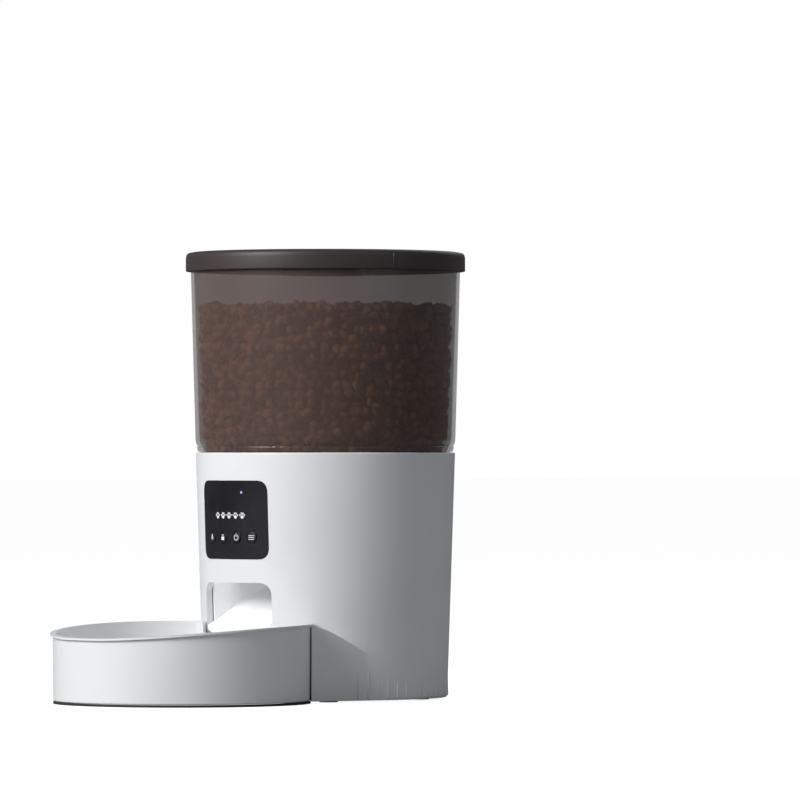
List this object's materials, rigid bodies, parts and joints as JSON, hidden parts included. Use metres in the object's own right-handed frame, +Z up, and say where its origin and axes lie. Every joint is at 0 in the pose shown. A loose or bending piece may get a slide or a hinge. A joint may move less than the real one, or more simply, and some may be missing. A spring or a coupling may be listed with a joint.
{
  "type": "automatic pet feeder",
  "caption": "Round automatic dry-food feeder with see-through hopper, lift-off lid, geared portion rotor, chute, key panel and a pull-out food tray",
  "frame": {"origin": "on the floor under the middle of the whole object's outline", "axes": "+Z up, the outlet and tray face -Y, +X to the right when looking along +Y"},
  "size_m": [0.194, 0.3182, 0.31],
  "materials": {
    "white_shell": "satin moulded ABS, cool white",
    "tray_white": "satin moulded food-safe plastic",
    "rubber": "matt",
    "steel": "zinc plated",
    "dark_plastic": "fine grain",
    "cell_wrap": "printed film, plain",
    "silicone": "soft matt silicone",
    "acetal": "natural acetal",
    "board": "solder mask",
    "gloss_black": "piano gloss",
    "status_light": "clear lens",
    "smoke_clear": "smoky see-through, gloss",
    "lid_grey": "fine grain, warm grey",
    "paper": "porous sachet paper"
  },
  "bodies": {
    "base": {"base_shell": "white_shell", "bottom_plate": "white_shell", "chute": "white_shell", "dispenser_housing": "white_shell", "foot_1": "rubber", "foot_2": "rubber", "foot_3": "rubber", "foot_4": "rubber", "base_screw_1": "steel", "base_screw_2": "steel", "base_screw_3": "steel", "base_screw_4": "steel", "deck_screw_1": "steel", "deck_screw_2": "steel", "deck_screw_3": "steel", "deck_screw_4": "steel", "gearbox_screw_1": "steel", "gearbox_screw_2": "steel", "contact_strip_left": "steel", "contact_strip_right": "steel", "idler_pin": "steel", "gear_motor": "steel", "battery_tray": "dark_plastic", "power_inlet": "dark_plastic", "speaker": "dark_plastic", "portion_baffle": "dark_plastic", "gearbox_case": "dark_plastic", "light_emitter": "dark_plastic", "light_receiver": "dark_plastic", "microphone": "dark_plastic", "tact_switch_1": "dark_plastic", "tact_switch_2": "dark_plastic", "tact_switch_3": "dark_plastic", "tact_switch_4": "dark_plastic", "battery_cell_1": "cell_wrap", "battery_cell_2": "cell_wrap", "battery_cell_3": "cell_wrap", "control_board": "board", "panel_cover": "gloss_black", "status_light": "status_light"},
    "hopper": {"hopper": "smoke_clear"},
    "lid": {"lid": "lid_grey", "lid_seal": "silicone", "desiccant_holder": "white_shell", "desiccant_pack": "paper"},
    "desiccant_cap": {"desiccant_cap": "white_shell"},
    "tray": {"food_tray": "tray_white", "tray_ring": "rubber"},
    "rotor": {"portion_rotor": "silicone", "agitator": "silicone", "output_gear": "acetal"},
    "idler": {"compound_gear": "acetal"},
    "pinion": {"motor_pinion": "acetal", "motor_shaft": "steel"},
    "battery_door": {"battery_cover": "white_shell"},
    "key_1": {"key_1": "gloss_black"},
    "key_2": {"key_2": "gloss_black"},
    "key_3": {"key_3": "gloss_black"},
    "key_4": {"key_4": "gloss_black"}
  },
  "joints": [
    {"name": "hopper_lift", "type": "slide", "parent": "base", "child": "hopper", "axis": [0, 0, 1], "range_m": [0, 0.09]},
    {"name": "lid_lift", "type": "slide", "parent": "hopper", "child": "lid", "axis": [0, 0, 1], "range_m": [0, 0.08]},
    {"name": "desiccant_twist", "type": "hinge", "parent": "lid", "child": "desiccant_cap", "pos_m": [0, 0.0621, 0.296], "axis": [0, 0, 1], "range_deg": [0, 30]},
    {"name": "tray_pull", "type": "slide", "parent": "base", "child": "tray", "axis": [0, -1, 0], "range_m": [0, 0.06]},
    {"name": "rotor_spin", "type": "hinge", "parent": "base", "child": "rotor", "pos_m": [0, 0.0621, 0.098], "axis": [0, 0, 1], "continuous": true},
    {"name": "idler_spin", "type": "hinge", "parent": "base", "child": "idler", "pos_m": [0, 0.0861, 0.074], "axis": [0, 0, 1], "continuous": true},
    {"name": "pinion_spin", "type": "hinge", "parent": "base", "child": "pinion", "pos_m": [0, 0.1101, 0.07], "axis": [0, 0, 1], "continuous": true},
    {"name": "battery_door_drop", "type": "slide", "parent": "base", "child": "battery_door", "axis": [0, 0, -1], "range_m": [0, 0.02]},
    {"name": "key_1_press", "type": "slide", "parent": "base", "child": "key_1", "axis": [0.2317, 0.9728, 0], "range_m": [0, 0.0008], "stiffness_N_per_m": 300},
    {"name": "key_2_press", "type": "slide", "parent": "base", "child": "key_2", "axis": [0.0785, 0.9969, 0], "range_m": [0, 0.0008], "stiffness_N_per_m": 300},
    {"name": "key_3_press", "type": "slide", "parent": "base", "child": "key_3", "axis": [-0.0785, 0.9969, 0], "range_m": [0, 0.0008], "stiffness_N_per_m": 300},
    {"name": "key_4_press", "type": "slide", "parent": "base", "child": "key_4", "axis": [-0.2317, 0.9728, 0], "range_m": [0, 0.0008], "stiffness_N_per_m": 300}
  ],
  "couplings": [
    {"joint": "idler_spin", "follows": "rotor_spin", "ratio": -3},
    {"joint": "pinion_spin", "follows": "rotor_spin", "ratio": 9}
  ]
}
